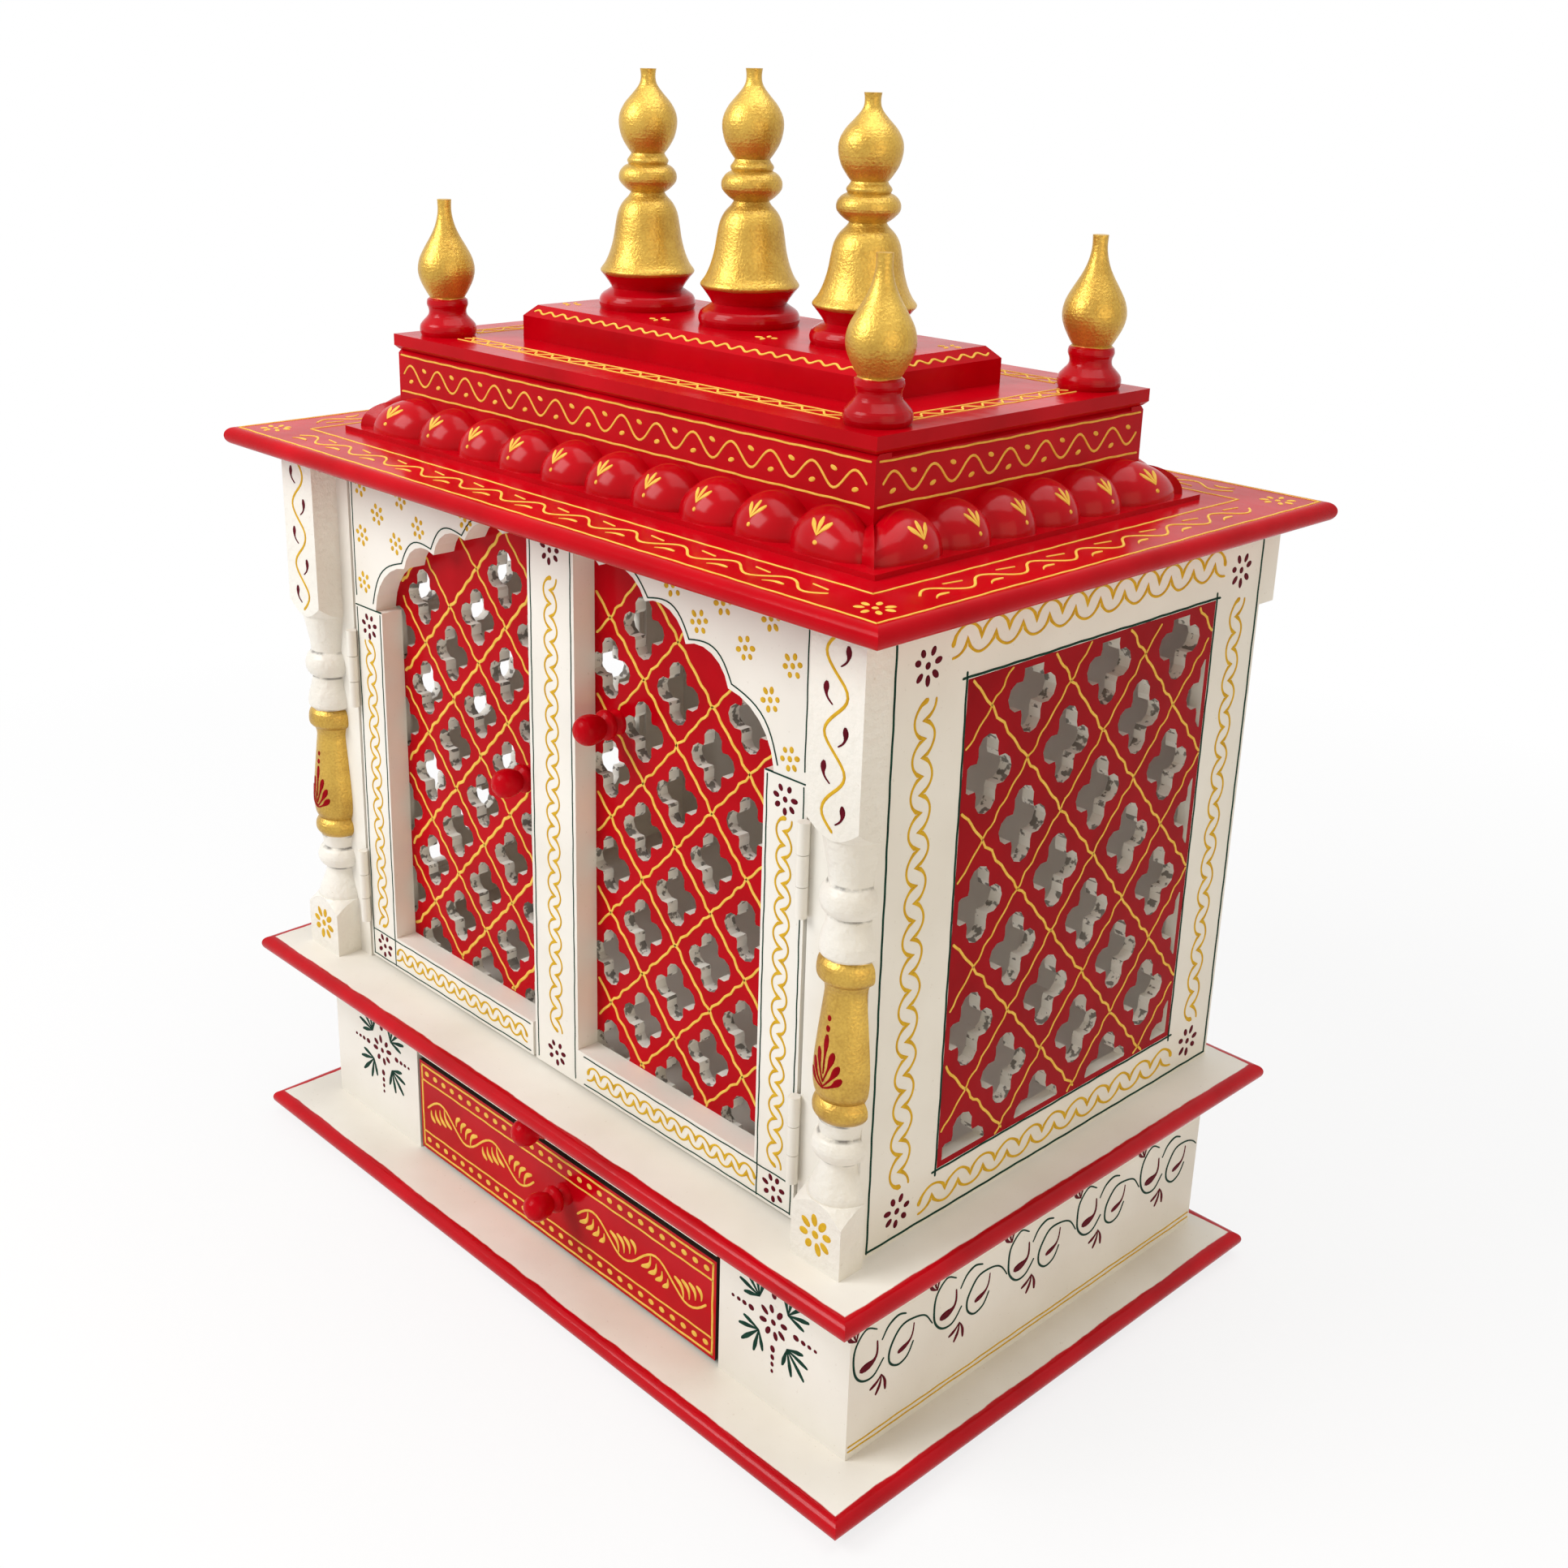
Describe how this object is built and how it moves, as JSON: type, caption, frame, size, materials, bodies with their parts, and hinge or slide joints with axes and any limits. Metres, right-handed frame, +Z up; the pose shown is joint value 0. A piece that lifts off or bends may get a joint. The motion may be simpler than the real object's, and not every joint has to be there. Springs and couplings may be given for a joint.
{
  "type": "pooja mandir, a painted wooden home shrine",
  "caption": "Painted wooden home shrine with pierced doors and sides, split-turned pillars, a plinth with drawer and pull-out tray, and a stepped roof with bell-shaped finials.",
  "frame": {"origin": "on the floor under the middle of the footprint", "axes": "+Z up, +X to the right seen from the front, +Y to the back; the doors face -Y"},
  "size_m": [0.61, 0.41, 0.78],
  "materials": {
    "white_paint": "hand-painted gloss enamel, cream white",
    "red_paint": "hand-painted gloss enamel, deep red",
    "gold_paint": "brushed metallic gold paint over turned wood",
    "bare_wood": "planed and left bare",
    "hinge_metal": "steel butt hinge painted over in white",
    "foot_pad": "matt dark pad"
  },
  "bodies": {
    "root": {"feet": "foot_pad", "base_board": "white_paint", "plinth_front": "white_paint", "plinth_sides": "white_paint", "plinth_back": "white_paint", "drawer_guides": "bare_wood", "deck_board": "white_paint", "left_side_stiles": "white_paint", "left_side_rails": "white_paint", "left_side_jali": "red_paint", "right_side_stiles": "white_paint", "right_side_rails": "white_paint", "right_side_jali": "red_paint", "back_panel": "white_paint", "back_batten": "white_paint", "door_jambs": "white_paint", "left_pillar": "white_paint", "right_pillar": "white_paint", "hinge_plates": "hinge_metal", "eave_board": "red_paint", "petal_moulding_long": "red_paint", "petal_moulding_ends": "red_paint", "roof_box_long": "red_paint", "roof_box_ends": "red_paint", "roof_lid": "red_paint", "ridge_block": "red_paint", "kalash_left": "gold_paint", "kalash_middle": "gold_paint", "kalash_right": "gold_paint", "corner_finials": "gold_paint"},
    "left_door": {"left_door_stile": "white_paint", "left_door_rail": "white_paint", "left_door_arch": "white_paint", "left_door_jali": "red_paint", "left_door_knob": "red_paint", "left_door_hinges": "hinge_metal"},
    "right_door": {"right_door_stile": "white_paint", "right_door_rail": "white_paint", "right_door_arch": "white_paint", "right_door_jali": "red_paint", "right_door_knob": "red_paint", "right_door_hinges": "hinge_metal", "middle_stile": "white_paint"},
    "drawer": {"drawer_front": "red_paint", "drawer_sides": "bare_wood", "drawer_back": "bare_wood", "drawer_bottom": "bare_wood", "drawer_knob": "red_paint"},
    "tray": {"tray_front": "white_paint", "tray_board": "bare_wood", "tray_knob": "red_paint"}
  },
  "joints": [
    {"name": "left_door_hinge", "type": "hinge", "parent": "root", "child": "left_door", "pos_m": [-0.2215, -0.1635, 0.3], "axis": [0, 0, -1], "range_deg": [0, 110]},
    {"name": "right_door_hinge", "type": "hinge", "parent": "root", "child": "right_door", "pos_m": [0.2215, -0.1635, 0.3], "axis": [0, 0, 1], "range_deg": [0, 110]},
    {"name": "drawer_slide", "type": "slide", "parent": "root", "child": "drawer", "axis": [0, -1, 0], "range_m": [0, 0.21]},
    {"name": "tray_slide", "type": "slide", "parent": "root", "child": "tray", "axis": [0, -1, 0], "range_m": [0, 0.21]}
  ]
}
